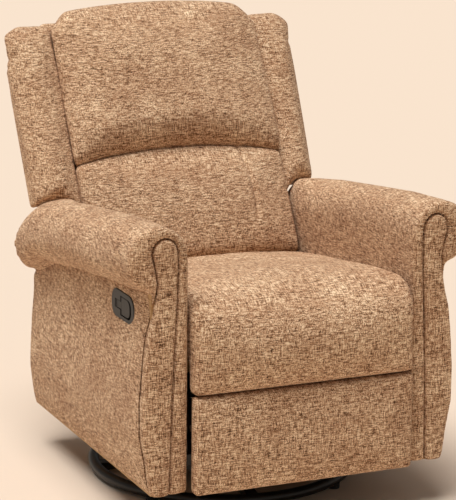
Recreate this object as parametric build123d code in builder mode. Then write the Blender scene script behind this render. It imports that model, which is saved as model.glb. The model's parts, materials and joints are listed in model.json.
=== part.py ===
from build123d import *
import os
from math import atan2, cos, degrees, dist, radians, sin, sqrt

# Swivel glider recliner for a nursery: wing back, rolled arms, pull-handle footrest.
# Millimetres.  +Z up, -Y towards the sitter's feet, +X to the right when seen from the front.
# The origin is on the floor, in the middle of the object's box.

# ---- seat and arms
seat_half = 264.0          # from the middle to the inside face of an arm
seat_front = -481.0
seat_back = 88.0           # rear end of the seat cushion
seat_front_top = 530.0
seat_rear_top = 462.0
seat_deck = 385.0          # top of the seat frame
seat_skirt_bottom = 323.0
seat_skirt_thick = 40.0
chair_bottom = 102.0
arm_front = -448.0
arm_back = 283.0
arm_body_width = 88.0
arm_roll_radius = 70.0     # half the width of the arm roll
arm_skin = 4.0
arm_board = 6.0
arm_end_board = 9.7
rear_panel_rise = 25.0     # top of the body's rear panel above the recline axis
rear_rail_depth = 14.0
front_roll = (622.0, 73.0)     # height of the roll's middle, half its height
middle_roll = (590.0, 68.0)
rear_roll = (506.0, 82.0)
middle_roll_y = -80.0
post_depth = 40.0
rail_height = 40.0
rail_width = 22.0
seat_rail_height = 48.0
seat_frame_overrun = 36.0  # of the seat frame behind the cushion
seat_wire = 1.8            # radius of the seat springs' wire
seat_spring_count = 5
seat_spring_turns = 12
seat_spring_pitch = 40.0
seat_spring_reach = 24.0
spring_end = 2.0           # from a rail to the end of its spring
clip_width = 16.0
clip_length = 12.0
clip_thick = 6.0
clip_sink = 4.0            # top of a spring clip below the seat frame's
mount_size = 40.0          # blocks that bolt the arms to the mechanism plates
mount_reach = 61.0
rail_screw_pitch = 150.0
screw_radius = 2.5
soft_gap = 0.3             # between a soft piece and its neighbour

# ---- back
recline_y = 235.0
recline_z = 420.0
back_lean = 29.5           # degrees from upright
back_length = 548.0
back_rear = 22.0           # distances forward of the recline axis, square to the back
back_board = 12.0
back_frame_depth = 30.0
back_pad_front = 150.0
headrest_top = 600.0
headrest_corner = 60.0
pad_seam = 238.0
lumbar_bottom = -30.0
back_half = 256.0
stile_width = 22.0
wing_outer = 368.0
wing_front = 112.0
wing_top = 555.0
wing_bottom_z = 618.0

# ---- base, swivel
foot_radius = 14.0
foot_lift = 6.0
ring_radius = 298.5
ring_tube = 12.5
swivel_y = -28.0
cross_turn = -10.0
cross_width = 26.0
hub_radius = 70.0
cross_height = 18.0
king_pin_radius = 7.95
race_radius = 85.0
ball_radius = 5.0
ball_count = 20
lower_disc = 118.0
upper_disc = 150.0
disc_thick = 4.0

# ---- glider
tower_x = 150.0
tower_thick = 5.0
tower_span = 150.0         # half its length
beam_offset = 100.0
beam_depth = 30.0
beam_height = 25.0
glide_pivot_offset = 130.0
glide_link_length = 120.0
glide_pivot_z = 205.0
glide_link_thick = 5.0
glide_link_half = 13.0
carriage_rail_height = 26.0
carriage_tube = 24.0
carriage_tube_wall = 2.0
front_tube_y = -255.0
rear_tube_y = 200.0
head_room = 4.4            # space for a rivet head between two layers

# ---- footrest linkage
plate_x = 224.0            # inside face of the mechanism plates
plate_thick = 3.0
layer_gap = 0.4
main_y = -345.0
main_z = 300.0
main_length = 200.0
main_closed = 341.0        # degrees from +Y towards +Z
drive_closed = 180.0
control_setback = 7.5      # the control link's pivot, back from the knee and across the main link
control_across = 29.0
bracket_room = 21.1        # the drive pivot on the bracket, behind the footrest board
bracket_up = 53.3          # the control link's pivot on the bracket, from the drive pivot
bracket_back = 50.0
bracket_slack = (-1.67, -1.7)      # where the control link's open end lies at rest, from its rivet
mechanism_ear = 20.0       # steel left round a pivot or a corner of a plate
link_half = 10.0
torque_tube_radius = 8.0
footrest_top = 320.0
footrest_pad_thick = 32.0
footrest_board_thick = 12.0
footrest_inset = 4.0

# ---- fasteners
rivet_radius = 4.95
running_gap = 0.05
open_pivot_play = 2.6      # slack where the control link meets the bracket
rivet_head_radius = 8.0
rivet_head = 2.2

# ---- release handle on the left arm
handle_y = -305.0
handle_z = 488.0
bezel_length = 130.0
bezel_height = 66.0
bezel_thick = 6.0
cup_length = 104.0
cup_height = 48.0
cup_depth = 26.0
cup_wall = 2.5
bezel_corner = 30.0
bezel_edge = 2.5
recess_length = 61.5       # of the finger recess, along the arm
recess_corner = 18.0
finger_room = 11.0         # in front of the paddle
tongue_length = 26.0       # from the recess to the hinge
tongue_height = 16.0
paddle_thick = 5.0
paddle_edge = 1.5
paddle_gap = 1.5
paddle_sink = 1.0          # the paddle's face behind the bezel's
barrel_radius = 4.0
paddle_pin_radius = 2.0
hole_play = 1.0            # between the cup and its hole in the arm's side
hinge_play = 7.0           # the same behind the hinge
cable_radius = 2.5

arm_outer = seat_half + arm_body_width
arm_middle = seat_half + arm_roll_radius
sides = (("left", -1), ("right", 1))
lean = radians(back_lean)
hole_radius = rivet_radius + running_gap
recess_front = handle_y - cup_length / 2 + cup_wall
recess_rear = recess_front + recess_length
hinge_y = recess_rear + tongue_length
slot_end = hinge_y + barrel_radius + paddle_gap


def save(part, name):
    part.label = name
    export_step(part, "parts/" + name + ".step")
    return part


def x_span(sign, near, far):
    # lowest x and length of a piece that lies between two distances from the middle
    return (near if sign > 0 else -far), far - near


def direction(angle):
    return cos(radians(angle)), sin(radians(angle))


def along(start, angle, length):
    step = direction(angle)
    return start[0] + length * step[0], start[1] + length * step[1]


def back_point(up, forward):
    # (y, z) of a point given along the back and square to it, from the recline axis
    y = recline_y + up * sin(lean) - forward * cos(lean)
    z = recline_z + up * cos(lean) + forward * sin(lean)
    return y, z


def side_plate(sign, near, far, outline, holes=()):
    # flat piece across X, drawn in (y, z); holes are (y, z, radius)
    low, thick = x_span(sign, near, far)
    with BuildPart() as plate:
        with BuildSketch(Plane.YZ.offset(low)):
            with BuildLine():
                Polyline(*outline, close=True)
            make_face()
            for y, z, radius in holes:
                with Locations((y, z)):
                    Circle(radius, mode=Mode.SUBTRACT)
        extrude(amount=thick)
    return plate.part


def link(sign, near, far, start, end, half_width, radius):
    low, thick = x_span(sign, near, far)
    middle = ((start[0] + end[0]) / 2, (start[1] + end[1]) / 2)
    turn = degrees(atan2(end[1] - start[1], end[0] - start[0]))
    with BuildPart() as bar:
        with BuildSketch(Plane.YZ.offset(low)):
            with Locations(middle):
                SlotCenterToCenter(dist(start, end), 2 * half_width, rotation=turn)
            with Locations(start, end):
                Circle(radius, mode=Mode.SUBTRACT)
        extrude(amount=thick)
    return bar.part


def rod(sign, near, far, centre, radius):
    low, length = x_span(sign, near, far)
    with BuildPart() as bar:
        with BuildSketch(Plane.YZ.offset(low)):
            with Locations(centre):
                Circle(radius)
        extrude(amount=length)
    return bar.part


def rivet(sign, near, far, centre, inner_head=True):
    # shank through the layers from near to far, with a head past each end
    with BuildPart() as pin:
        add(rod(sign, near, far, centre, rivet_radius))
        add(rod(sign, far, far + rivet_head, centre, rivet_head_radius))
        if inner_head:
            add(rod(sign, near - rivet_head, near, centre, rivet_head_radius))
    return pin.part


def block(low, high):
    size = [high[i] - low[i] for i in range(3)]
    with BuildPart() as box:
        with Locations(low):
            Box(*size, align=(Align.MIN, Align.MIN, Align.MIN))
    return box.part


def group(pieces):
    # separate solids kept in one node
    return Compound(children=list(pieces))


def sinuous_spring(start, run, pitch, half_width, wire, count, plane):
    # zigzag wire spring in a plane, starting and ending on its middle line
    points = [start]
    for turn in range(count):
        reach = half_width if turn % 2 else -half_width
        points.append((start[0] + reach, start[1] + pitch * (turn + 0.5)))
    points.append((start[0], start[1] + run))
    path_points = [plane.from_local_coords((p[0], p[1], 0)) for p in points]
    with BuildPart() as spring:
        with BuildLine() as path:
            FilletPolyline(*path_points, radius=pitch * 0.3)
        with BuildSketch(Plane(origin=path.line @ 0, z_dir=path.line % 0)):
            Circle(wire)
        sweep()
    return spring.part


def ring_solid(radius):
    with BuildPart() as ring:
        with Locations((0, swivel_y, foot_lift + ring_tube)):
            Torus(ring_radius, radius)
    return ring.part


def swivel_base():
    ring = ring_solid(ring_tube)
    save(ring, "base_ring")
    hub_top = foot_lift + 2 * ring_tube
    hub_bottom = foot_lift + ring_tube - cross_height / 2
    with BuildPart() as cross:
        with Locations((0, swivel_y, hub_bottom)):
            Cylinder(hub_radius, hub_top - hub_bottom, align=(Align.CENTER, Align.CENTER, Align.MIN))
        with Locations((0, swivel_y, hub_bottom)):
            with PolarLocations(0, 4, start_angle=cross_turn):
                Box(ring_radius - ring_tube / 2, cross_width, cross_height,
                    align=(Align.MIN, Align.CENTER, Align.MIN))
        add(ring, mode=Mode.SUBTRACT)
        with Locations((0, swivel_y, hub_bottom)):
            Cylinder(king_pin_radius + running_gap, 3 * cross_height, mode=Mode.SUBTRACT)
    save(cross.part, "base_cross")
    with BuildPart() as feet:
        with Locations((0, swivel_y, 0)):
            with PolarLocations(ring_radius, 4, start_angle=cross_turn + 45):
                Cylinder(foot_radius, foot_lift + ring_tube, align=(Align.CENTER, Align.CENTER, Align.MIN))
        add(ring, mode=Mode.SUBTRACT)
        with Locations((0, swivel_y, foot_lift + ring_tube)):
            Cylinder(2 * ring_radius, ring_tube, mode=Mode.SUBTRACT)
    save(group(feet.part.solids()), "foot_pads")

    with BuildPart() as lower:
        with BuildSketch(Plane.XY.offset(hub_top)):
            with Locations((0, swivel_y)):
                Circle(lower_disc)
                Circle(king_pin_radius + running_gap, mode=Mode.SUBTRACT)
        extrude(amount=disc_thick)
    save(lower.part, "swivel_lower_disc")
    race_bottom = hub_top + disc_thick
    balls = []
    for turn in range(ball_count):
        side, front = direction(360 * turn / ball_count)
        with BuildPart() as ball:
            with Locations((race_radius * side, swivel_y + race_radius * front, race_bottom + ball_radius)):
                Sphere(ball_radius)
        balls.append(ball.part)
    save(group(balls), "bearing_balls")
    upper_bottom = race_bottom + 2 * ball_radius + running_gap
    with BuildPart() as upper:
        with BuildSketch(Plane.XY.offset(upper_bottom)):
            with Locations((0, swivel_y)):
                Circle(upper_disc)
                Circle(king_pin_radius + running_gap, mode=Mode.SUBTRACT)
        extrude(amount=disc_thick)
    save(upper.part, "swivel_upper_disc")
    upper_top = upper_bottom + disc_thick
    with BuildPart() as king:
        with BuildSketch(Plane.XY.offset(hub_bottom - disc_thick)):
            with Locations((0, swivel_y)):
                Circle(2 * king_pin_radius)
        extrude(amount=disc_thick)
        with BuildSketch(Plane.XY.offset(hub_bottom)):
            with Locations((0, swivel_y)):
                Circle(king_pin_radius)
        extrude(amount=upper_top + soft_gap - hub_bottom)
        with BuildSketch(Plane.XY.offset(upper_top + soft_gap)):
            with Locations((0, swivel_y)):
                RegularPolygon(2 * king_pin_radius, 6)
        extrude(amount=2 * disc_thick)
    save(king.part, "king_bolt")
    return upper_top


def glider(deck):
    front_y = swivel_y - glide_pivot_offset
    rear_y = swivel_y + glide_pivot_offset
    low_z = glide_pivot_z - glide_link_length
    link_near = tower_x + tower_thick + head_room
    link_far = link_near + glide_link_thick
    rail_near = link_far + layer_gap
    rail_far = rail_near + tower_thick
    beams = []
    for offset in (-beam_offset, beam_offset):
        y = swivel_y + offset - beam_depth / 2
        beams.append(block((-tower_x, y, deck), (tower_x, y + beam_depth, deck + beam_height)))
    save(group(beams), "glider_beams")
    tower_top = glide_pivot_z + glide_link_half
    window_low = deck + beam_height + glide_link_half
    towers, rails, upper_pins, lower_pins = [], [], [], []
    links = {"front": [], "rear": []}
    for _, sign in sides:
        low, thick = x_span(sign, tower_x, tower_x + tower_thick)
        with BuildPart() as tower:
            with BuildSketch(Plane.YZ.offset(low)):
                with Locations((swivel_y, (deck + tower_top) / 2)):
                    RectangleRounded(2 * tower_span, tower_top - deck, glide_link_half)
                with Locations((swivel_y, (window_low + tower_top + glide_link_half) / 2)):
                    Rectangle(2 * (glide_pivot_offset - 2 * glide_link_half),
                              tower_top + glide_link_half - window_low, mode=Mode.SUBTRACT)
                with Locations((front_y, glide_pivot_z), (rear_y, glide_pivot_z)):
                    Circle(hole_radius, mode=Mode.SUBTRACT)
            extrude(amount=thick)
        towers.append(tower.part)
        rail_top = low_z + carriage_rail_height / 2
        rail_low = low_z - carriage_rail_height / 2
        outline = ((front_tube_y - carriage_tube, rail_low), (rear_tube_y + carriage_tube, rail_low),
                   (rear_tube_y + carriage_tube, rail_top), (front_tube_y - carriage_tube, rail_top))
        rail = side_plate(sign, rail_near, rail_far, outline,
                          ((front_y, low_z, hole_radius), (rear_y, low_z, hole_radius)))
        rails.append(rail)
        for place, y in (("front", front_y), ("rear", rear_y)):
            bar = link(sign, link_near, link_far, (y, low_z), (y, glide_pivot_z), glide_link_half, hole_radius)
            links[place].append(bar)
            upper_pins.append(rivet(sign, tower_x - layer_gap, link_far + layer_gap, (y, glide_pivot_z)))
            lower_pins.append(rivet(sign, link_near - layer_gap, rail_far, (y, low_z)))
    save(group(towers), "glider_towers")
    save(group(rails), "carriage_rails")
    save(group(links["front"]), "glide_links_front")
    save(group(links["rear"]), "glide_links_rear")
    save(group(upper_pins), "glide_upper_rivets")
    save(group(lower_pins), "glide_lower_rivets")
    tubes = []
    inner = carriage_tube / 2 - carriage_tube_wall
    for y in (front_tube_y, rear_tube_y):
        with BuildPart() as tube:
            with BuildSketch(Plane.YZ.offset(-plate_x)):
                with Locations((y, rail_top + carriage_tube / 2)):
                    Rectangle(carriage_tube, carriage_tube)
                    Rectangle(2 * inner, 2 * inner, mode=Mode.SUBTRACT)
            extrude(amount=2 * plate_x)
        tubes.append(tube.part)
    save(group(tubes), "carriage_cross_tubes")
    return rail_top


def mechanism(tube_bottom):
    main = (main_y, main_z)
    knee = along(main, main_closed, main_length)
    board_back = seat_front + footrest_pad_thick + footrest_board_thick
    drive_length = knee[0] - board_back - bracket_room
    bracket_pivot = along(knee, drive_closed, drive_length)
    control_start = along(along(knee, main_closed + 180, control_setback), main_closed + 90, control_across)
    bracket_hole = (bracket_pivot[0] + bracket_back, bracket_pivot[1] + bracket_up)
    control_end = (bracket_hole[0] + bracket_slack[0], bracket_hole[1] + bracket_slack[1])
    recline = (recline_y, recline_z)
    plate_far = plate_x + plate_thick
    layers = []
    near = plate_far + head_room + layer_gap
    for _ in range(4):
        layers.append((near, near + plate_thick))
        near += plate_thick + layer_gap
    main_layer, drive_layer, bracket_layer, control_layer = layers
    ear = mechanism_ear
    foot = carriage_tube / 2 + carriage_tube_wall
    outline = ((main_y - ear, seat_deck), (main_y - ear, main_z - ear), (main_y + ear, main_z - ear),
               (front_tube_y - foot, tube_bottom), (front_tube_y + foot, tube_bottom),
               (front_tube_y + 3 * ear, main_z - ear), (rear_tube_y - 3 * ear, main_z - ear),
               (rear_tube_y - foot, tube_bottom), (rear_tube_y + foot, tube_bottom),
               (recline_y + ear, recline_z), (recline_y + ear / 2, recline_z + ear),
               (recline_y - ear, recline_z + ear / 2), (rear_tube_y - 3 * ear, seat_deck))
    screw_y = [main_y + 2 * ear + step * rail_screw_pitch for step in range(3)]
    screw_z = (seat_deck + seat_skirt_bottom) / 2 + ear / 4
    pins = {"knee": [], "control": [], "bracket": [], "recline": []}
    plates, mains, drives, controls, brackets = [], [], [], [], []
    screws = []
    for _, sign in sides:
        holes = [(main_y, main_z, torque_tube_radius + running_gap), (*recline, hole_radius)]
        holes += [(y, screw_z, screw_radius) for y in screw_y]
        plates.append(side_plate(sign, plate_x, plate_far, outline, holes))
        with BuildPart() as bar:
            add(link(sign, *main_layer, main, knee, link_half + 2, hole_radius))
            low, thick = x_span(sign, *main_layer)
            with BuildSketch(Plane.YZ.offset(low)):
                with Locations(control_start, knee):
                    Circle(link_half + 2)
                with BuildLine():
                    Polyline(control_start, knee, along(main, main_closed, main_length / 2), close=True)
                make_face()
                with Locations(control_start, knee):
                    Circle(hole_radius, mode=Mode.SUBTRACT)
            extrude(amount=thick)
            with BuildSketch(Plane.YZ.offset(low)):
                with Locations(main):
                    Circle(torque_tube_radius)
                with Locations(control_start, knee):
                    Circle(hole_radius)
            extrude(amount=thick, mode=Mode.SUBTRACT)
        mains.append(bar.part)
        drives.append(link(sign, *drive_layer, knee, bracket_pivot, link_half, hole_radius))
        with BuildPart() as control:
            add(link(sign, *control_layer, control_start, control_end, link_half + 2, hole_radius))
            add(rod(sign, *control_layer, control_end, hole_radius + open_pivot_play), mode=Mode.SUBTRACT)
        controls.append(control.part)
        with BuildPart() as bracket:
            add(side_plate(sign, *bracket_layer,
                           ((board_back, bracket_pivot[1] - 2 * ear), (bracket_pivot[0] + link_half, bracket_pivot[1] - ear),
                            (bracket_hole[0] + link_half + 2, bracket_hole[1] - link_half),
                            (bracket_hole[0] + link_half, bracket_hole[1] + link_half),
                            (bracket_hole[0] - link_half, bracket_hole[1] + link_half + 2),
                            (board_back, bracket_hole[1] + link_half)),
                           ((*bracket_pivot, hole_radius), (*bracket_hole, rivet_radius))))
            flange_low, flange_wide = x_span(sign, plate_x - link_half, bracket_layer[1])
            add(block((flange_low, board_back, bracket_pivot[1] - 2 * ear),
                      (flange_low + flange_wide, board_back + plate_thick, bracket_hole[1] + link_half)))
            for z in (bracket_pivot[1] - ear, bracket_hole[1] - ear):
                with BuildSketch(Plane.XZ.offset(-board_back)):
                    with Locations((sign * plate_x, z)):
                        Circle(screw_radius)
                extrude(amount=-2 * plate_thick, mode=Mode.SUBTRACT)
        brackets.append(bracket.part)
        pins["knee"].append(rivet(sign, main_layer[0] - layer_gap, drive_layer[1] + layer_gap, knee))
        pins["control"].append(rivet(sign, main_layer[0] - layer_gap, control_layer[1] + layer_gap, control_start))
        pins["bracket"].append(rivet(sign, drive_layer[0] - layer_gap, bracket_layer[1], bracket_pivot))
        pins["bracket"].append(rivet(sign, bracket_layer[0], control_layer[1] + layer_gap, bracket_hole, False))
        pins["recline"].append(rivet(sign, plate_x, plate_far + plate_thick + 2 * layer_gap, recline))
        rail_near = plate_x - soft_gap - rail_width
        for y in screw_y:
            with BuildPart() as screw:
                add(rod(sign, rail_near + 2 * rivet_head, plate_far, (y, screw_z), screw_radius))
                add(rod(sign, plate_far, plate_far + rivet_head, (y, screw_z), 2 * screw_radius))
            screws.append(screw.part)
    with BuildPart() as tube:
        with BuildSketch(Plane.YZ.offset(-main_layer[1])):
            with Locations(main):
                Circle(torque_tube_radius)
                Circle(torque_tube_radius - 2, mode=Mode.SUBTRACT)
        extrude(amount=2 * main_layer[1])
    save(tube.part, "torque_tube")
    save(group(plates), "mechanism_plates")
    save(group(mains), "main_links")
    save(group(drives), "drive_links")
    save(group(controls), "control_links")
    save(group(brackets), "footrest_brackets")
    save(group(pins["knee"]), "knee_rivets")
    save(group(pins["control"]), "control_rivets")
    save(group(pins["bracket"]), "bracket_rivets")
    save(group(pins["recline"]), "recline_rivets")
    save(group(screws), "seat_rail_screws")
    footrest((bracket_pivot[1] - ear, bracket_hole[1] - ear))
    return screw_y, screw_z


def footrest(screw_rows_z):
    pad_back = seat_front + footrest_pad_thick
    board_back = pad_back + footrest_board_thick
    half = seat_half - footrest_inset
    with BuildPart() as pad:
        with Locations(((0, (seat_front + pad_back) / 2, (chair_bottom + footrest_top) / 2))):
            Box(2 * half, footrest_pad_thick, footrest_top - chair_bottom)
        fillet(pad.faces().sort_by(Axis.Y)[0].edges(), radius=footrest_pad_thick * 0.4)
    save(pad.part, "footrest_pad")
    screw_places = []
    for z in screw_rows_z:
        screw_places += [(plate_x, z), (-plate_x, z)]
    edge = 2 * footrest_inset
    with BuildPart() as board:
        with BuildSketch(Plane.XZ.offset(-board_back)):
            with Locations((0, (chair_bottom + footrest_top) / 2)):
                Rectangle(2 * (half - edge), footrest_top - chair_bottom - 2 * edge)
            with Locations(*screw_places):
                Circle(screw_radius, mode=Mode.SUBTRACT)
        extrude(amount=footrest_board_thick)
    save(board.part, "footrest_board")
    screws = []
    for place in screw_places:
        with BuildPart() as screw:
            with BuildSketch(Plane.XZ.offset(-board_back - plate_thick)):
                with Locations(place):
                    Circle(screw_radius)
            extrude(amount=plate_thick + footrest_board_thick - rivet_head)
            with BuildSketch(Plane.XZ.offset(-board_back - plate_thick)):
                with Locations(place):
                    Circle(2 * screw_radius)
            extrude(amount=-rivet_head)
        screws.append(screw.part)
    save(group(screws), "footrest_screws")


def seat(screw_y, screw_z):
    rail_far = plate_x - soft_gap
    rail_near = rail_far - rail_width
    rail_low = seat_deck - seat_rail_height
    front = seat_front + seat_skirt_thick + soft_gap
    rear = seat_back + seat_frame_overrun
    rails = []
    for _, sign in sides:
        outline = ((front, rail_low), (rear, rail_low), (rear, seat_deck), (front, seat_deck))
        with BuildPart() as rail:
            add(side_plate(sign, rail_near, rail_far, outline))
            for y in screw_y:
                add(rod(sign, rail_near + 2 * rivet_head, rail_far, (y, screw_z), screw_radius), mode=Mode.SUBTRACT)
        rails.append(rail.part)
    for y in (front, rear - rail_width):
        rails.append(block((-rail_near, y, rail_low), (rail_near, y + rail_width, seat_deck)))
    save(group(rails), "seat_frame")
    first, last = front + rail_width, rear - rail_width
    wire_z = seat_deck + seat_wire - clip_sink
    clips, wires = [], []
    for step in range(seat_spring_count):
        x = (step - (seat_spring_count - 1) / 2) * 2 * rail_near / (seat_spring_count + 0.6)
        plane = Plane(origin=(x, first, wire_z), x_dir=(1, 0, 0), z_dir=(0, 0, 1))
        run = last - first - 2 * spring_end
        wires.append(sinuous_spring((0, spring_end), run, seat_spring_pitch, seat_spring_reach, seat_wire,
                                    seat_spring_turns, plane))
        for y in (first, last - clip_length):
            clips.append(block((x - clip_width / 2, y, seat_deck - clip_sink - clip_thick),
                               (x + clip_width / 2, y + clip_length, seat_deck - clip_sink)))
    save(group(wires), "seat_springs")
    save(group(clips), "seat_spring_clips")
    under = seat_deck + soft_gap
    half = seat_half - 2.5
    inner = seat_front + seat_skirt_thick
    outline = ((seat_front, seat_skirt_bottom), (seat_front, seat_front_top - 50), (seat_front + 18, seat_front_top - 18),
               (seat_front + 60, seat_front_top), (seat_front + 150, seat_front_top - 7),
               (seat_front + 300, seat_front_top - 29), (seat_back, seat_rear_top), (seat_back, under),
               (inner, under), (inner, seat_skirt_bottom))
    save(side_plate(1, -half, half, outline), "seat_cushion")
    mounts = []
    plate_far = plate_x + plate_thick
    for _, sign in sides:
        for y in (screw_y[0] - mount_reach, screw_y[-1] + mount_reach):
            low, wide = x_span(sign, plate_far, seat_half)
            mounts.append(block((low, y, seat_deck - mount_size), (low + wide, y + mount_size, seat_deck)))
    save(group(mounts), "arm_mount_blocks")


def roll_bottom(section, x):
    # underside of the arm roll at a distance x from the middle of the chair
    middle, half = section
    share = (x - arm_middle) / arm_roll_radius
    return middle - half * sqrt(max(0.0, 1 - share * share))


def under_roll(x, low):
    # outline of an upright board that ends just under the roll
    ends = ((arm_front + arm_end_board + soft_gap, front_roll), (middle_roll_y, middle_roll), (arm_back, rear_roll))
    top = [(y, roll_bottom(section, x) - soft_gap) for y, section in reversed(ends)]
    return [(ends[0][0], low), (arm_back, low)] + top


def end_board(sign, y_low, thick, section, inner, outer, bottom):
    middle, half = section
    with BuildPart() as board:
        with BuildSketch(Plane.XZ.offset(-y_low)):
            with Locations((sign * (inner + outer) / 2, (bottom + middle) / 2)):
                Rectangle(outer - inner, middle - bottom)
            with Locations((sign * arm_middle, middle)):
                Ellipse(arm_roll_radius, half)
        extrude(amount=-thick)
    return board.part


def arms():
    rail_inner = seat_half + arm_skin
    board_inner = arm_outer - arm_board
    front = arm_front + arm_end_board + soft_gap
    hole_front = handle_y - cup_length / 2 - hole_play
    hole_rear = slot_end + cup_wall + hinge_play
    core_outer = board_inner - cup_depth - 4
    skins, rear_boards = [], []
    for side, sign in sides:
        with BuildPart() as roll:
            for y, section in ((front, front_roll), (middle_roll_y, middle_roll), (arm_back, rear_roll)):
                with BuildSketch(Plane.XZ.offset(-y)):
                    with Locations((sign * arm_middle, section[0])):
                        Ellipse(arm_roll_radius, section[1])
            loft(ruled=True)
        save(roll.part, "arm_roll_" + side)
        inner_outline = under_roll(rail_inner, chair_bottom)
        with BuildPart() as skin:
            add(side_plate(sign, seat_half, rail_inner, inner_outline))
            if sign < 0:
                add(rod(sign, seat_half, rail_inner, cable_hole, cable_radius + 1), mode=Mode.SUBTRACT)
        skins.append(skin.part)
        with BuildPart() as outer:
            add(side_plate(sign, board_inner, arm_outer, under_roll(board_inner, chair_bottom)))
            if sign < 0:
                with BuildSketch(Plane.YZ.offset(-arm_outer)):
                    with Locations(((hole_front + hole_rear) / 2, handle_z)):
                        RectangleRounded(hole_rear - hole_front, cup_height + 2 * hole_play, cup_height / 2 - 2 * hole_play)
                extrude(amount=arm_board, mode=Mode.SUBTRACT)
        save(outer.part, "arm_outer_panel_" + side)
        frame = []
        crest = under_roll(arm_middle, chair_bottom)
        front_top = crest[-1][1] - (post_depth + 1) * (crest[-1][1] - crest[-2][1]) / (crest[-2][0] - crest[-1][0])
        middle_top = crest[-2][1]
        rear_top = crest[2][1]
        front_end = front + post_depth
        rear_start = arm_back - post_depth
        wide_low, wide = x_span(sign, rail_inner, board_inner)
        narrow_low, narrow = x_span(sign, rail_inner, core_outer)
        frame.append(block((wide_low, front, chair_bottom), (wide_low + wide, front_end, front_top)))
        frame.append(block((wide_low, rear_start, chair_bottom), (wide_low + wide, arm_back, rear_top)))
        frame.append(block((wide_low, front_end, chair_bottom), (wide_low + wide, rear_start, chair_bottom + rail_height)))
        slope = (middle_top - rear_top) / (arm_back - middle_roll_y)
        rear_join = rear_top + slope * post_depth
        drop = rail_height
        top_rail = ((front_end, front_top - drop), (middle_roll_y, middle_top - drop),
                    (rear_start, min(rear_top, rear_join) - drop), (rear_start, min(rear_top, rear_join)),
                    (middle_roll_y, middle_top), (front_end, front_top))
        frame.append(side_plate(sign, rail_inner, core_outer, top_rail))
        save(group(frame), "arm_frame_" + side)
        front_board = end_board(sign, arm_front, arm_end_board, front_roll, seat_half, arm_outer, chair_bottom)
        save(front_board, "arm_front_panel_" + side)
        rear_board = end_board(sign, arm_back + soft_gap, arm_end_board, rear_roll, seat_half, arm_outer, chair_bottom)
        rear_boards.append(rear_board)
    save(group(skins), "arm_inner_panels")
    save(group(rear_boards), "arm_rear_panels")


def body_rear():
    board_back = arm_back
    board_front = board_back - 12.0
    half = seat_half
    top = recline_z + rear_panel_rise
    save(block((-half, board_front, chair_bottom), (half, board_back, top)), "rear_panel")
    rails = []
    for z in (chair_bottom, top - rail_height):
        rails.append(block((-half, board_front - rear_rail_depth, z), (half, board_front, z + rail_height)))
    save(group(rails), "rear_rails")


def d_plate(near, thick, front, rear, half, corner):
    # flat piece across X on the handle's middle line, with its two front corners rounded
    with BuildPart() as plate:
        with BuildSketch(Plane.YZ.offset(near)) as outline:
            with Locations(((front + rear) / 2, handle_z)):
                Rectangle(rear - front, 2 * half)
            fillet(outline.vertices().group_by(Axis.X)[0], radius=corner)
        extrude(amount=thick)
    return plate.part


def release_handle():
    # D-shaped finger recess in front, and a narrow slot behind it for the paddle's tongue and hinge
    face = arm_outer + bezel_thick
    recess_half = cup_height / 2 - cup_wall
    hinge_x = -face + paddle_thick / 2 + paddle_sink
    slot_half = tongue_height / 2 + paddle_gap
    slot_depth = paddle_sink + paddle_thick / 2 + barrel_radius + paddle_gap
    cup = d_plate(-arm_outer, cup_depth, recess_front - cup_wall, recess_rear + cup_wall, cup_height / 2,
                  recess_corner + cup_wall)
    recess = d_plate(-face, bezel_thick + cup_depth - cup_wall, recess_front, recess_rear, recess_half, recess_corner)
    housing = block((-arm_outer, recess_rear, handle_z - slot_half - cup_wall),
                    (-face + slot_depth + cup_wall, slot_end + cup_wall, handle_z + slot_half + cup_wall))
    slot = block((-face, recess_rear - cup_wall, handle_z - slot_half), (-face + slot_depth, slot_end, handle_z + slot_half))
    with BuildPart() as pin:
        with BuildSketch(Plane.XY.offset(handle_z - slot_half - cup_wall)):
            with Locations((hinge_x, hinge_y)):
                Circle(paddle_pin_radius)
        extrude(amount=2 * (slot_half + cup_wall))
    save(pin.part, "paddle_pin")
    with BuildPart() as bezel:
        with BuildSketch(Plane.YZ.offset(-face)):
            with Locations((handle_y, handle_z)):
                RectangleRounded(bezel_length, bezel_height, bezel_corner)
        extrude(amount=bezel_thick)
        fillet(bezel.faces().sort_by(Axis.X)[0].edges(), radius=bezel_edge)
        add(cup)
        add(housing)
        add(recess, mode=Mode.SUBTRACT)
        add(slot, mode=Mode.SUBTRACT)
        add(pin.part, mode=Mode.SUBTRACT)
    save(bezel.part, "handle_bezel")
    paddle_front = recess_front + finger_room
    plate_rear = recess_rear - paddle_gap
    plate = d_plate(hinge_x - paddle_thick / 2, paddle_thick, paddle_front, plate_rear, recess_half - paddle_gap,
                    recess_corner - paddle_gap)
    tongue = block((hinge_x - paddle_thick / 2, plate_rear, handle_z - tongue_height / 2),
                   (hinge_x + paddle_thick / 2, hinge_y, handle_z + tongue_height / 2))
    with BuildPart() as paddle:
        add(plate)
        fillet(paddle.faces().sort_by(Axis.X)[0].edges(), radius=paddle_edge)
        add(tongue)
        with BuildSketch(Plane.XY.offset(handle_z - tongue_height / 2)):
            with Locations((hinge_x, hinge_y)):
                Circle(barrel_radius)
        extrude(amount=tongue_height)
        with BuildSketch(Plane.XY.offset(handle_z - tongue_height / 2)):
            with Locations((hinge_x, hinge_y)):
                Circle(paddle_pin_radius + running_gap)
        extrude(amount=tongue_height, mode=Mode.SUBTRACT)
    save(paddle.part, "release_paddle")


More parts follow.
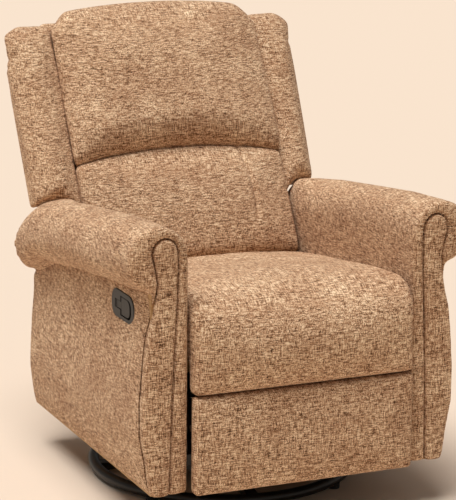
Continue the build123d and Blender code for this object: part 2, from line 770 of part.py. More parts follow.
def release_cable():
    # sheathed cable from the handle's cup, through the inside of the arm, to the mechanism plate
    start_x = -(arm_outer - cup_depth)
    drop_z = cable_hole[1]
    points = [(start_x, handle_y, handle_z), (start_x + 28, handle_y, handle_z),
              (start_x + 28, cable_hole[0], drop_z), (-plate_x - plate_thick, cable_hole[0], drop_z)]
    with BuildPart() as cable:
        with BuildLine() as path:
            FilletPolyline(*points, radius=18)
        with BuildSketch(Plane(origin=path.line @ 0, z_dir=path.line % 0)):
            Circle(cable_radius)
        sweep()
    save(cable.part, "release_cable")


def back():
    plane = Plane(origin=(0, recline_y, recline_z), x_dir=(1, 0, 0), z_dir=(0, -cos(lean), sin(lean)))
    board_front = back_rear + back_board
    frame_front = board_front + back_frame_depth
    shoulder = (wing_bottom_z - recline_z - back_rear * sin(lean)) / cos(lean)
    foot = -20.0
    panel_foot = 40.0
    low_rail = 20.0
    narrow = seat_half - 11.0
    wide = wing_outer - 6.0
    with BuildPart() as board:
        with BuildSketch(plane.offset(back_rear)):
            with BuildLine():
                Polyline((-narrow, panel_foot), (narrow, panel_foot), (narrow, shoulder), (wide, shoulder),
                         (wide, back_length), (-wide, back_length), (-wide, shoulder), (-narrow, shoulder), close=True)
            make_face()
        extrude(amount=back_board)
    save(board.part, "back_outer_panel")
    stile_near = plate_x + 2 * plate_thick + 2 * layer_gap
    stile_far = stile_near + stile_width
    pieces = []

    def bar(x_low, x_high, low, high, near, far):
        with BuildPart() as piece:
            with BuildSketch(plane.offset(near)):
                with Locations(((x_low + x_high) / 2, (low + high) / 2)):
                    Rectangle(x_high - x_low, high - low)
            extrude(amount=far - near)
        return piece.part

    for _, sign in sides:
        x_low, wide_x = x_span(sign, stile_near, stile_far)
        pieces.append(bar(x_low, x_low + wide_x, foot, back_length - 8, board_front, frame_front))
    bracket_near = plate_x + plate_thick + layer_gap
    low_half = bracket_near - soft_gap
    pieces.append(bar(-low_half, low_half, low_rail, low_rail + rail_height, board_front, frame_front))
    for low in (pad_seam - 20, back_length - 48):
        pieces.append(bar(-stile_near, stile_near, low, low + rail_height, board_front, frame_front))
    save(group(pieces), "back_frame")

    wire = 1.6
    wires = []
    for x in (-stile_near / 2, 0, stile_near / 2):
        for low, high in ((low_rail + rail_height, pad_seam - 20), (pad_seam - 20 + rail_height, back_length - 48)):
            spring_plane = Plane(origin=plane.from_local_coords((x, low, frame_front - 6)), x_dir=(1, 0, 0),
                                 z_dir=plane.z_dir)
            count = int((high - low) / 36) - 1
            wires.append(sinuous_spring((0, 2.0), high - low - 4.0, 36.0, 22.0, wire, count, spring_plane))
    save(group(wires), "back_springs")

    pad_rear = frame_front + soft_gap
    lumbar_outline = (back_point(lumbar_bottom, pad_rear), back_point(lumbar_bottom, back_pad_front - 30),
                      back_point(lumbar_bottom + 25, back_pad_front), back_point(pad_seam - 1, back_pad_front),
                      back_point(pad_seam - 1, pad_rear))
    save(side_plate(1, -back_half, back_half, lumbar_outline), "lumbar_pad")
    with BuildPart() as headrest:
        with BuildSketch(plane.offset(pad_rear)) as outline:
            with Locations((0, (headrest_top + pad_seam + 1) / 2)):
                Rectangle(2 * back_half, headrest_top - pad_seam - 1)
            fillet(outline.vertices().group_by(Axis.Z)[-1], radius=headrest_corner)
        extrude(amount=back_pad_front + 14 - pad_rear)
    save(headrest.part, "headrest_pad")

    recline = (recline_y, recline_z)
    rear_side = board_front + 2
    pad_near = back_half + soft_gap
    brackets, wing_frames = [], []
    for side, sign in sides:
        outline = (back_point(-14, 6), back_point(-10, -10), back_point(4, -16), back_point(14, -8),
                   back_point(panel_foot - 5, rear_side), back_point(120, rear_side),
                   back_point(120, frame_front - 6), back_point(foot + 4, frame_front - 6), back_point(foot + 4, rear_side))
        brackets.append(side_plate(sign, bracket_near, bracket_near + plate_thick, outline,
                                   ((*recline, hole_radius),)))
        wing_foot = [(wing_bottom_z - recline_z - n * sin(lean)) / cos(lean) for n in (board_front, frame_front, wing_front)]
        frame_outline = (back_point(wing_foot[0], board_front), back_point(wing_foot[1], frame_front),
                         back_point(wing_top - 15, frame_front), back_point(wing_top - 15, board_front))
        wing_frames.append(side_plate(sign, pad_near, wide, frame_outline))
        low, thick = x_span(sign, pad_near, wing_outer)
        pad_foot = (wing_bottom_z - recline_z - pad_rear * sin(lean)) / cos(lean)
        pad_outline = (back_point(pad_foot, pad_rear), back_point(wing_foot[2], wing_front),
                       back_point(wing_top, wing_front), back_point(wing_top, pad_rear))
        save(side_plate(sign, pad_near, wing_outer, pad_outline), "wing_pad_" + side)
    save(group(brackets), "back_brackets")
    save(group(wing_frames), "wing_frames")


cable_hole = (handle_y + 60.0, seat_deck - 20.0)
os.makedirs("parts", exist_ok=True)
deck_top = swivel_base()
carriage_top = glider(deck_top)
screw_rows = mechanism(carriage_top)
seat(*screw_rows)
arms()
body_rear()
release_handle()
release_cable()
back()
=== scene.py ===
import json
import math
import bmesh
import bpy
from mathutils import Matrix, Vector, noise


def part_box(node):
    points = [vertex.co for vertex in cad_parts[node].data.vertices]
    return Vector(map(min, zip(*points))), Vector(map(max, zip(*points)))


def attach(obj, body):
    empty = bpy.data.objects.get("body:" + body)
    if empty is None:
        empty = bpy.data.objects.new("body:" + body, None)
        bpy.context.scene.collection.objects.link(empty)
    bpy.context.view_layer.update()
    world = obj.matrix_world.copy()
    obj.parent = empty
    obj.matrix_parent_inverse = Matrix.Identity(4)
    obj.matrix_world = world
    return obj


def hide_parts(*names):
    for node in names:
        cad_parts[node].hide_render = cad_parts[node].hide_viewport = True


# Swivel glider recliner: tweed upholstery built round the chair's own frame.
# Blender's units are metres; the pieces are drawn in millimetres. Up is +Z and the sitter faces -Y.

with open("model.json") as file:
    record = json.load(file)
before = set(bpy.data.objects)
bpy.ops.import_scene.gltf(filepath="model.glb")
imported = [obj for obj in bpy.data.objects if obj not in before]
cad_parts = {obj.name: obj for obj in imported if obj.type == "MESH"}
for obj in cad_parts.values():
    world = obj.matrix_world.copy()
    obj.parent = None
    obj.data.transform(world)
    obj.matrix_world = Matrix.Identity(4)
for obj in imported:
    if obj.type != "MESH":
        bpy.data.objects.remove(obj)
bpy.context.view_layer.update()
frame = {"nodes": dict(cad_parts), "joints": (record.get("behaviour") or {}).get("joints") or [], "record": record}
print("frame loaded:", len(frame["nodes"]), "nodes")

mm = 0.001
joints = {j["name"]: j for j in frame["joints"]}
reclineAxis = Vector(joints["recline"]["pos_m"])
backLean = math.radians(29.5)     # from upright, at rest


def boxOf(node):
    # a node's box in millimetres, to a tenth
    low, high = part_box(node)
    return Vector(round(v / mm, 1) for v in low), Vector(round(v / mm, 1) for v in high)


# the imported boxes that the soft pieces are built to
seatLow, seatHigh = boxOf("seat_cushion")
deck = boxOf("seat_frame")[1].z     # the seat frame's top
footLow, footHigh = boxOf("footrest_pad")
rollLow, rollHigh = boxOf("arm_roll_right")
frontLow, frontHigh = boxOf("arm_front_panel_right")
endLow, endHigh = boxOf("arm_rear_panels")
rearLow, rearHigh = boxOf("rear_panel")
handleLow, handleHigh = boxOf("handle_bezel")


def srgb(text):
    # "#rrggbb" to linear colour
    parts = [int(text[i:i + 2], 16) / 255 for i in (1, 3, 5)]
    return [c / 12.92 if c <= 0.04045 else ((c + 0.055) / 1.055) ** 2.4 for c in parts] + [1.0]


def smooth(value, low, high):
    # 0 below low, 1 above high and eased between them
    t = min(1.0, max(0.0, (value - low) / (high - low)))
    return t * t * (3 - 2 * t)


def bell(value, middle, width):
    # 1 at the middle, fading to both sides
    return math.exp(-((value - middle) / width) ** 2)


def straight(value, stops):
    # value read off a list of (place, value) stops, in straight runs
    if value <= stops[0][0]:
        return stops[0][1]
    for (a, va), (b, vb) in zip(stops, stops[1:]):
        if value <= b:
            return va + (vb - va) * (value - a) / (b - a)
    return stops[-1][1]


def arc(centre, radius, start, end, steps, squeeze=1.0):
    # points on an arc from one angle to another, in degrees; squeeze stretches it upwards
    points = []
    for i in range(steps + 1):
        angle = math.radians(start + (end - start) * i / steps)
        x, y = radius * math.cos(angle), radius * squeeze * math.sin(angle)
        points.append((centre[0] + x, centre[1] + y))
    return points


sidePlane = Matrix(((0, 0, 1, 0), (1, 0, 0, 0), (0, 1, 0, 0), (0, 0, 0, 1)))      # (y, z), depth along +X
facePlane = Matrix(((1, 0, 0, 0), (0, 0, 1, 0), (0, 1, 0, 0), (0, 0, 0, 1)))      # (x, z), depth along +Y
backUp = Vector((0, math.sin(backLean), math.cos(backLean)))
backOut = Vector((0, -math.cos(backLean), math.sin(backLean)))
backPlane = Matrix.Translation(reclineAxis) @ Matrix(((1, 0, 0, 0), (0, backUp.y, backOut.y, 0),
                                                      (0, backUp.z, backOut.z, 0), (0, 0, 0, 1)))


def applied(piece):
    # the piece's modifiers made part of its mesh
    graph = bpy.context.evaluated_depsgraph_get()
    mesh = bpy.data.meshes.new_from_object(piece.evaluated_get(graph))
    piece.modifiers.clear()
    old = piece.data
    piece.data = mesh
    bpy.data.meshes.remove(old)
    return piece


def rawPad(name, outline, plane, near, far, edge):
    # an outline in millimetres, extruded along the plane's depth and rounded at its edges
    bm = bmesh.new()
    corners = [bm.verts.new((u * mm, v * mm, near * mm)) for u, v in outline]
    face = bm.faces.new(corners)
    grown = bmesh.ops.extrude_face_region(bm, geom=[face])
    moved = [v for v in grown["geom"] if isinstance(v, bmesh.types.BMVert)]
    bmesh.ops.translate(bm, vec=(0, 0, (far - near) * mm), verts=moved)
    bmesh.ops.recalc_face_normals(bm, faces=bm.faces)
    rim = [e for e in bm.edges if len(e.link_faces) == 2 and e.calc_face_angle(0) > math.radians(50)]
    bmesh.ops.bevel(bm, geom=rim, offset=edge * mm, segments=4, profile=0.5, affect="EDGES",
                    offset_type="OFFSET", clamp_overlap=True, material=-1)
    bmesh.ops.transform(bm, matrix=plane, verts=bm.verts)
    bmesh.ops.recalc_face_normals(bm, faces=bm.faces)
    mesh = bpy.data.meshes.new(name)
    bm.to_mesh(mesh)
    bm.free()
    piece = bpy.data.objects.new(name, mesh)
    bpy.context.scene.collection.objects.link(piece)
    return piece


def remesh(piece, voxel):
    # an even mesh, with its steps smoothed away
    grid = piece.modifiers.new("Grid", "REMESH")
    grid.mode = "VOXEL"
    grid.voxel_size = voxel * mm
    applied(piece)
    bm = bmesh.new()
    bm.from_mesh(piece.data)
    for _ in range(2):
        bmesh.ops.smooth_vert(bm, verts=bm.verts, factor=0.5, use_axis_x=True, use_axis_y=True,
                              use_axis_z=True)
    bm.to_mesh(piece.data)
    bm.free()
    return piece


clothSet = {"steps": 20, "quality": 4, "tension": 20, "compression": 12, "bending": 1.5}


def stuff(piece, pressure, cap, free, plane=None):
    # fills a cover by cloth simulation: free says how loose a point is, from 0 at the tacked edges to 1,
    # and no point moves further than cap millimetres
    s = clothSet
    scene = bpy.context.scene
    inverse = plane.inverted() if plane else Matrix.Identity(4)
    before = [v.co.copy() for v in piece.data.vertices]
    tacked = piece.vertex_groups.new(name="tacked")
    for v in piece.data.vertices:
        tacked.add([v.index], 1 - free(*(inverse @ v.co / mm if plane else v.co / mm)), "REPLACE")
    cloth = piece.modifiers.new("Cloth", "CLOTH")
    cloth.settings.quality = s["quality"]
    cloth.settings.tension_stiffness = s["tension"]
    cloth.settings.compression_stiffness = s["compression"]
    cloth.settings.bending_stiffness = s["bending"]
    cloth.settings.vertex_group_mass = "tacked"
    cloth.settings.use_pressure = True
    cloth.settings.uniform_pressure_force = pressure
    cloth.settings.effector_weights.gravity = 0
    cloth.point_cache.frame_start = 1
    cloth.point_cache.frame_end = s["steps"]
    for step in range(1, s["steps"] + 1):
        scene.frame_set(step)
    applied(piece)
    piece.vertex_groups.clear()
    scene.frame_set(1)
    for v, rest in zip(piece.data.vertices, before):
        move = v.co - rest
        if move.length > cap * mm:
            v.co = rest + move * (cap * mm / move.length)
    return piece


def refine(piece):
    # one level of subdivision, for the folds and seams
    finer = piece.modifiers.new("Finer", "SUBSURF")
    finer.levels = 1
    finer.render_levels = 1
    return applied(piece)


def shape(piece, move, plane=None):
    # moves every point by a function of its place, read in millimetres in the plane's own axes
    inverse = plane.inverted() if plane else Matrix.Identity(4)
    forward = plane if plane else Matrix.Identity(4)
    for v in piece.data.vertices:
        local = inverse @ v.co / mm if plane else v.co / mm
        v.co = forward @ (Vector(move(*local)) * mm)
    piece.data.update()
    return piece


def ripple(point, size, height, seed):
    # slow, uneven fullness of the padding
    return height * noise.noise(Vector(point) / size + Vector((seed, seed * 2, seed * 3)))


def finishPad(piece, body, fill, *nodes):
    # the tweed, the nodes it stands for and the body it moves with
    for face in piece.data.polygons:
        face.use_smooth = True
    piece.data.materials.clear()
    piece.data.materials.append(fabric)
    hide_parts(*nodes)
    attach(piece, body)
    print(piece.name, len(piece.data.polygons), "faces")
    return piece


def mirrored(piece, name):
    # the same piece for the chair's other side
    twin = piece.copy()
    twin.data = piece.data.copy()
    twin.name = name
    bpy.context.scene.collection.objects.link(twin)
    bm = bmesh.new()
    bm.from_mesh(twin.data)
    bmesh.ops.scale(bm, vec=(-1, 1, 1), verts=bm.verts)
    bmesh.ops.reverse_faces(bm, faces=bm.faces)
    bm.to_mesh(twin.data)
    bm.free()
    return twin


def newMaterial(name):
    material = bpy.data.materials.new(name)
    material.use_nodes = True
    tree = material.node_tree
    tree.nodes.clear()
    return material, tree


def addNode(tree, kind, settings=None, links=None, **values):
    # a node with its settings, its fixed socket values and the sockets that feed it
    node = tree.nodes.new(kind)
    for key, value in (settings or {}).items():
        setattr(node, key, value)
    for key, value in values.items():
        # i0 stands for the first socket, for nodes that repeat a socket's name
        socket = int(key[1:]) if key[0] == "i" and key[1:].isdigit() else key
        node.inputs[socket].default_value = value
    for key, source in (links or {}).items():
        tree.links.new(source, node.inputs[key])
    return node


def setRamp(node, stops):
    ramp = node.color_ramp
    while len(ramp.elements) > len(stops):
        ramp.elements.remove(ramp.elements[-1])
    while len(ramp.elements) < len(stops):
        ramp.elements.new(1.0)
    for element, (place, colour) in zip(ramp.elements, stops):
        element.position = place
        element.color = srgb(colour) if isinstance(colour, str) else colour


tweedLook = {
    "threadPitch": 1.9,      # mm; the real yarn is about 1.5 mm, drawn coarser so that it shows
    "slubLength": 15,        # mm
    "fleckSize": 1.6,        # mm
    "patchSize": 111.1,        # mm, slow changes of shade in the cloth
    "dark": "#4f3320",
    "mid": "#c69974",
    "light": "#ffe8c6",
    "patch": "#e6dcd6",
    "contrast": 0.09,        # how far the dark and light yarns lie from the middle one
    "warpShare": 0.48,
    "fleckShare": 0.34,
    "patchShare": 0.8,
    "roughness": 0.95,
    "sheen": 0.04,
    "relief": 0.9,           # mm
}


def tweed():
    # Polyester chenille tweed, woven from mixed brown and tan yarns: matt, with slubs along the weft,
    # light and dark flecks, and a faint sheen where the pile catches the light.
    look = tweedLook
    material, tree = newMaterial("tanTweed")
    place = addNode(tree, "ShaderNodeTexCoord")
    across = 1000 / look["threadPitch"]
    along = 1000 / look["slubLength"]
    threads = {}
    for name, scale, offset in (("weft", (along, along, across), 0),
                                ("weftOnTop", (along, across, along), 5),
                                ("warp", (across, across, along), 11),
                                ("warpOnTop", (across, along, along), 17)):
        spread = addNode(tree, "ShaderNodeMapping", links={"Vector": place.outputs["Object"]}, Scale=scale,
                         Location=(offset, offset, offset))
        threads[name] = addNode(tree, "ShaderNodeTexNoise", {"noise_dimensions": "3D"},
                                {"Vector": spread.outputs[0]}, Scale=1.0, Detail=1.5, Roughness=0.6)

    # the weave lies flat on faces that look up, and upright on all others
    facing = addNode(tree, "ShaderNodeSeparateXYZ", links={"Vector": place.outputs["Normal"]})
    level = addNode(tree, "ShaderNodeMath", {"operation": "ABSOLUTE"}, {0: facing.outputs["Z"]})
    isTop = addNode(tree, "ShaderNodeMapRange", {"interpolation_type": "SMOOTHSTEP"},
                    {"Value": level.outputs[0]}, **{"From Min": 0.6, "From Max": 0.8})
    mixed = {"data_type": "RGBA", "blend_type": "MIX"}
    weft = addNode(tree, "ShaderNodeMix", mixed, {0: isTop.outputs[0], 6: threads["weft"].outputs["Fac"],
                                                  7: threads["weftOnTop"].outputs["Fac"]})
    warp = addNode(tree, "ShaderNodeMix", mixed, {0: isTop.outputs[0], 6: threads["warp"].outputs["Fac"],
                                                  7: threads["warpOnTop"].outputs["Fac"]})
    woven = addNode(tree, "ShaderNodeMix", mixed, {6: weft.outputs[2], 7: warp.outputs[2]},
                    i0=look["warpShare"])
    fleck = addNode(tree, "ShaderNodeTexNoise", {"noise_dimensions": "3D"},
                    {"Vector": place.outputs["Object"]}, Scale=1000 / look["fleckSize"], Detail=1.0,
                    Roughness=0.5)
    yarn = addNode(tree, "ShaderNodeMix", mixed, {6: woven.outputs[2], 7: fleck.outputs["Fac"]},
                   i0=look["fleckShare"])
    ramp = addNode(tree, "ShaderNodeValToRGB", links={"Fac": yarn.outputs[2]})
    setRamp(ramp, ((0.5 - look["contrast"], look["dark"]), (0.5, look["mid"]),
                   (0.5 + look["contrast"], look["light"])))
    patch = addNode(tree, "ShaderNodeTexNoise", {"noise_dimensions": "3D"},
                    {"Vector": place.outputs["Object"]}, Scale=1000 / look["patchSize"], Detail=2.0,
                    Roughness=0.6)
    tint = addNode(tree, "ShaderNodeValToRGB", links={"Fac": patch.outputs["Fac"]})
    setRamp(tint, ((0.35, look["patch"]), (0.65, "#ffffff")))
    colour = addNode(tree, "ShaderNodeMix", {"data_type": "RGBA", "blend_type": "MULTIPLY"},
                     {6: ramp.outputs["Color"], 7: tint.outputs["Color"]}, i0=look["patchShare"])
    bump = addNode(tree, "ShaderNodeBump", links={"Height": yarn.outputs[2]}, Strength=0.55,
                   Distance=look["relief"] * mm)
    surface = addNode(tree, "ShaderNodeBsdfPrincipled",
                      links={"Base Color": colour.outputs[2], "Normal": bump.outputs[0]},
                      Roughness=look["roughness"],
                      **{"Sheen Weight": look["sheen"], "Sheen Roughness": 0.6, "Specular IOR Level": 0.2})
    addNode(tree, "ShaderNodeOutputMaterial", links={"Surface": surface.outputs[0]})
    return material


hardLooks = {
    # Powder-coated steel tube and plate: an even black skin with a fine orange peel and a satin shine.
    "black_powder_coat": {"name": "blackPowderCoat", "dark": "#0c0b0a", "light": "#171513", "grain": 1.5,
                          "roughness": 0.38, "metallic": 0.0, "relief": 0.08},
    # Zinc-plated steel fasteners and wire: grey and slightly cloudy.
    "zinc_steel": {"name": "zincPlate", "dark": "#8d8f90", "light": "#b4b6b7", "grain": 6.0,
                   "roughness": 0.35, "metallic": 1.0, "relief": 0.03},
    # Planed pine and plywood: pale and matt, with long grain along Y.
    "frame_wood": {"name": "planedPine", "dark": "#a37a4a", "light": "#cda571", "grain": 4.0,
                   "roughness": 0.6, "metallic": 0.0, "relief": 0.15, "stretch": (1, 0.12, 1)},
    # Moulded ABS with a fine spark texture: nearly black, with a soft sheen.
    "black_plastic": {"name": "blackMoulded", "dark": "#110d0b", "light": "#1c1613", "grain": 0.9,
                      "roughness": 0.5, "metallic": 0.0, "relief": 0.05},
    # Moulded rubber feet: dull black.
    "rubber_pad": {"name": "rubberPad", "dark": "#0b0b0b", "light": "#161616", "grain": 2.0,
                   "roughness": 0.75, "metallic": 0.0, "relief": 0.1},
}


def hardFinish(look):
    # a hard finish with fine grain; grain and relief are in millimetres
    material, tree = newMaterial(look["name"])
    place = addNode(tree, "ShaderNodeTexCoord")
    spread = addNode(tree, "ShaderNodeMapping", links={"Vector": place.outputs["Object"]},
                     Scale=look.get("stretch", (1, 1, 1)))
    grain = addNode(tree, "ShaderNodeTexNoise", links={"Vector": spread.outputs[0]},
                    Scale=1000 / look["grain"], Detail=3.0, Roughness=0.6)
    ramp = addNode(tree, "ShaderNodeValToRGB", links={"Fac": grain.outputs["Fac"]})
    setRamp(ramp, ((0.3, look["dark"]), (0.7, look["light"])))
    gloss = addNode(tree, "ShaderNodeMapRange", links={"Value": grain.outputs["Fac"]},
                    **{"To Min": look["roughness"] - 0.06, "To Max": look["roughness"] + 0.06})
    bump = addNode(tree, "ShaderNodeBump", links={"Height": grain.outputs["Fac"]}, Strength=0.3,
                   Distance=look["relief"] * mm)
    surface = addNode(tree, "ShaderNodeBsdfPrincipled",
                      links={"Base Color": ramp.outputs["Color"], "Roughness": gloss.outputs[0],
                             "Normal": bump.outputs[0]}, Metallic=look["metallic"])
    addNode(tree, "ShaderNodeOutputMaterial", links={"Surface": surface.outputs[0]})
    return material


fabric = tweed()
slotLook = {slot: hardFinish(look) for slot, look in hardLooks.items()}
slotLook["tweed"] = fabric
for part in frame["record"]["subparts"]:
    shell = frame["nodes"][part["node"]]
    shell.data.materials.clear()
    shell.data.materials.append(slotLook[part["material_slot"]])
print("materials set")


seatPad = {"voxel": 8, "pressure": 5, "cap": 14, "edge": 5, "fill": 0.8, "drop": 1.5, "nose": 74, "skirt": 44,
           "sideRound": 24, "crown": 10, "frontCrown": 13, "pucker": 1.6}


def seatCushion():
    # thick at its nose, which hangs down in front of the seat frame, and thinner to the rear
    s = seatPad
    front, back = seatLow.y, seatHigh.y
    floor, top = seatLow.z - s["drop"], seatHigh.z
    half = seatHigh.x
    outline = [(front, floor), (front - 2, floor + 90)]
    outline += arc((front + s["nose"] - 2, top - s["nose"]), s["nose"], 176, 92, 6)
    outline += [(front + 190, top - 12), (front + 300, top - 28), (back, top - 66), (back, deck + 6)]
    outline += [(front + s["skirt"] + 8, deck + 6), (front + s["skirt"], floor)]
    pad = rawPad("seatPad", outline, sidePlane, -half, half, s["edge"])
    remesh(pad, s["voxel"])

    def loose(x, y, z):
        above = smooth(z, deck + 12, deck + 40) + smooth(front + 40 - y, 0, 12)
        return min(1, above) * smooth(half - 8 - abs(x), 0, 25) * smooth(z, floor + 4, floor + 24)

    stuff(pad, s["pressure"], s["cap"], loose)

    def crown(x, y, z):
        wide = max(0, 1 - (x / half) ** 2)
        long = smooth(y, front + 10, front + 150) * smooth(back + 20 - y, 0, 140)
        rise = s["crown"] * wide * long * smooth(z, deck + 10, deck + 60)
        tall = math.sin(math.pi * min(1, max(0, (z - floor) / (top - floor))))
        push = s["frontCrown"] * wide ** 0.6 * smooth(front + 70 - y, 0, 60) * tall ** 0.7
        tuck = 5 * bell(z, floor, 8) * smooth(front + 40 - y, 0, 30)
        wave = ripple((x, y, z), 95, 2.4, 1.7) * smooth(z, floor + 10, floor + 60)
        waist = 1 - 0.010 * bell(z, (floor + top) / 2 - 10, 60) * smooth(front + 90 - y, 0, 60)
        beside = max(0, abs(x) - (half - s["sideRound"]))
        turn = 0.8 * (s["sideRound"] - math.sqrt(max(0, s["sideRound"] ** 2 - beside ** 2)))
        onFront = smooth(front + 40 - y, 0, 36) * (0.4 + 0.6 * smooth(z, floor, floor + 80))
        onTop = smooth(z, deck + 20, deck + 70) * (1 - onFront * 0.4)
        y += tuck + 0.6 * wave + turn * onFront - push
        z += rise + wave * long - turn * onTop
        return max(-half, min(half, x * waist)), y, max(floor, z)

    shape(pad, crown)
    refine(pad)

    def gather(x, y, z):
        # the corner seams are gathered where the front wraps to the sides
        edge = bell(abs(x), half - 5, 14) * smooth(front + 60 - y, 0, 40) * smooth(z, floor + 60, top - 90)
        edge *= smooth(top - 10 - z, 0, 40)
        return x, y + s["pucker"] * edge * math.sin(z / 5.2), z

    shape(pad, gather)
    finishPad(pad, "chair_body", s["fill"], "seat_cushion")


footPad = {"voxel": 6, "pressure": 4, "cap": 9, "edge": 5, "fill": 0.6, "crown": 8}


def footrestPad():
    s = footPad
    half = footHigh.x
    low, high = footLow.z, footHigh.z
    front, back = footLow.y, footHigh.y
    outline = [(-half, low), (half, low), (half, high), (-half, high)]
    pad = rawPad("footrestPad", outline, facePlane, front + 1, back, s["edge"])
    remesh(pad, s["voxel"])

    def loose(x, y, z):
        upright = smooth(min(z - low, high - z) - 3, 0, 12)
        return smooth(back - 14 - y, 0, 10) * smooth(half - 4 - abs(x), 0, 12) * upright

    stuff(pad, s["pressure"], s["cap"], loose)

    def crown(x, y, z):
        face = smooth(back - 6 - y, 0, 14)
        wide = max(0, 1 - (x / half) ** 6)
        tall = max(0, 1 - ((z - (low + high) / 2) / ((high - low) / 2)) ** 4)
        wave = ripple((x, y, z), 80, 1.6, 4.1)
        y = min(y - s["crown"] * face * wide * tall + wave * face, back - 0.3)
        return max(-half, min(half, x)), y, max(low, min(high - 0.3, z))

    shape(pad, crown)
    refine(pad)
    finishPad(pad, "footrest", s["fill"], "footrest_pad")


seatCushion()
footrestPad()


backShape = {
    "half": 258, "bulge": 1.022, "slim": 0.987,       # half width, wider in front, slimmer at the wings
    "archEdge": 224, "archMiddle": 254,               # where the seam between the pads crosses, up the back
    "top": 631, "frameTop": 544, "shoulder": 22, "corner": 30,       # how the top edge falls to the sides
    "taper": 0.008,                                   # narrowing of the headrest towards its top
    "padRear": 65, "coverRear": 36, "face": 136,
}


def archAt(x):
    s = backShape
    return s["archMiddle"] - (s["archMiddle"] - s["archEdge"]) * (x / s["half"]) ** 2


def upOutPlane():
    # outlines drawn as (up the back, out of it), depth along +X
    return Matrix.Translation(reclineAxis) @ Matrix(((0, 0, 1, 0), (backUp.y, backOut.y, 0, 0),
                                                     (backUp.z, backOut.z, 0, 0), (0, 0, 0, 1)))


headPad = {"voxel": 8, "pressure": 5, "cap": 18, "edge": 10, "fill": 0.8, "topRound": 44, "crown": 26}


def headrest():
    s, pillow = backShape, headPad
    half, low, top, face = s["half"], s["archMiddle"], s["top"], s["face"]
    topRound = pillow["topRound"]
    outline = [(low, s["padRear"]), (low, face - 4), (low + 16, face + 8), (low + 60, face + 12)]
    outline += [(top - 120, face + 6)] + arc((top - topRound, face - topRound + 4), topRound, 80, 10, 5)
    outline += [(top - 10, s["coverRear"] + 14), (top - 24, s["coverRear"]), (s["frameTop"], s["coverRear"])]
    outline += [(s["frameTop"], s["padRear"])]
    pad = rawPad("headrestPad", outline, upOutPlane(), -half, half, pillow["edge"])
    remesh(pad, pillow["voxel"])

    def loose(x, up, out):
        return smooth(out, face - 45, face - 15) * smooth(half - 4 - abs(x), 0, 20)

    stuff(pad, pillow["pressure"], pillow["cap"], loose, backPlane)

    def crown(x, up, out):
        arch = (archAt(x) - low) * (1 - smooth(up, low, low + 110))
        corner = s["shoulder"] * abs(x / half) ** 2.2
        corner += s["corner"] * smooth(abs(x), half - 52, half) ** 1.4
        up += arch - corner * smooth(up, top - 160, top)
        wide = max(0, 1 - (abs(x) / half) ** 4)
        rise = smooth(up, archAt(x) - 4, archAt(x) + 70) * smooth(top + 10 - up, 0, 170)
        front = smooth(out, s["padRear"] + 20, face - 5)
        wave = ripple((x, up, out), 120, 3.0, 2.3) * wide
        out += front * (pillow["crown"] * wide * (0.35 + 0.65 * rise) + wave)
        x *= s["slim"] + (s["bulge"] - s["slim"]) * smooth(out, 106, 128) - s["taper"] * smooth(up, 240, 560)
        return x, up, out

    shape(pad, crown, backPlane)
    refine(pad)
    finishPad(pad, "seat_back", pillow["fill"], "headrest_pad")


lumbarPad = {"voxel": 7, "pressure": 5, "cap": 14, "edge": 8, "fill": 0.75, "foot": -30, "crown": 22}
lumbarSeam = {"place": 150, "sway": 12, "low": 40, "width": 6, "depth": 8, "faint": 0.45}


def lumbar():
    s, pillow = backShape, lumbarPad
    half, high, face, foot = s["half"], s["archMiddle"] + 4, s["face"] - 6, pillow["foot"]
    outline = [(foot, s["padRear"]), (foot, face - 2), (foot + 24, face + 8), (high - 16, face + 8)]
    outline += [(high, face - 2), (high, s["padRear"])]
    pad = rawPad("lumbarPad", outline, upOutPlane(), -half, half, pillow["edge"])
    remesh(pad, pillow["voxel"])

    def loose(x, up, out):
        inside = smooth(half - 4 - abs(x), 0, 16) * smooth(high - 4 - up, 0, 14)
        return smooth(out, face - 40, face - 15) * inside

    stuff(pad, pillow["pressure"], pillow["cap"], loose, backPlane)

    def crown(x, up, out):
        up += (archAt(x) - s["archMiddle"]) * smooth(up, high - 130, high)
        wide = max(0, 1 - (abs(x) / half) ** 3)
        rise = math.sin(math.pi * min(1, max(0, (up - foot + 40) / (archAt(0) - foot + 30)))) ** 0.7
        front = smooth(out, s["padRear"] + 20, face - 8)
        wave = ripple((x, up, out), 90, 2.0, 6.6) * wide
        out += front * (pillow["crown"] * wide * rise + wave)
        return x * (1 + 0.012 * smooth(out, 102, 130)), up, out

    shape(pad, crown, backPlane)
    refine(pad)
    seam = lumbarSeam

    def stitch(x, up, out):
        # a seam down each side of the pad, fainter on one side
        line = seam["place"] + seam["sway"] * math.sin(math.radians((archAt(x) - up) * 0.75))
        reach = smooth(up, seam["low"], seam["low"] + 30) * smooth(archAt(x) - up, -2, 8)
        groove = bell(abs(x), line, seam["width"]) * reach
        swell = bell(abs(x), line + 9, 7) * reach
        front = smooth(out, s["padRear"] + 20, face)
        strong = 1.0 if x > 0 else seam["faint"]
        return x, up, out - front * strong * (seam["depth"] * groove - 0.8 * swell)

    shape(pad, stitch, backPlane)
    finishPad(pad, "seat_back", pillow["fill"], "lumbar_pad")


wingShape = {
    "voxel": 6, "pressure": 4, "cap": 9, "edge": 11, "fill": 0.7,
    "inner": 260, "outer": 370, "rear": 34.5, "front": 116, "top": 590, "topRound": 36, "inset": 9,
    "notch": 510,                                # where the side has a small step, up the back
    "foot": 161, "armMiddle": 326, "armRound": 68,       # the foot is hollowed over the arm roll
    "frontEdge": ((150, 348), (324, 359), (479, 367), (560, 372)),       # (up the back, outer x)
    "rearEdge": ((150, 361), (430, 360), (504, 357), (514, 346), (590, 344)),
}


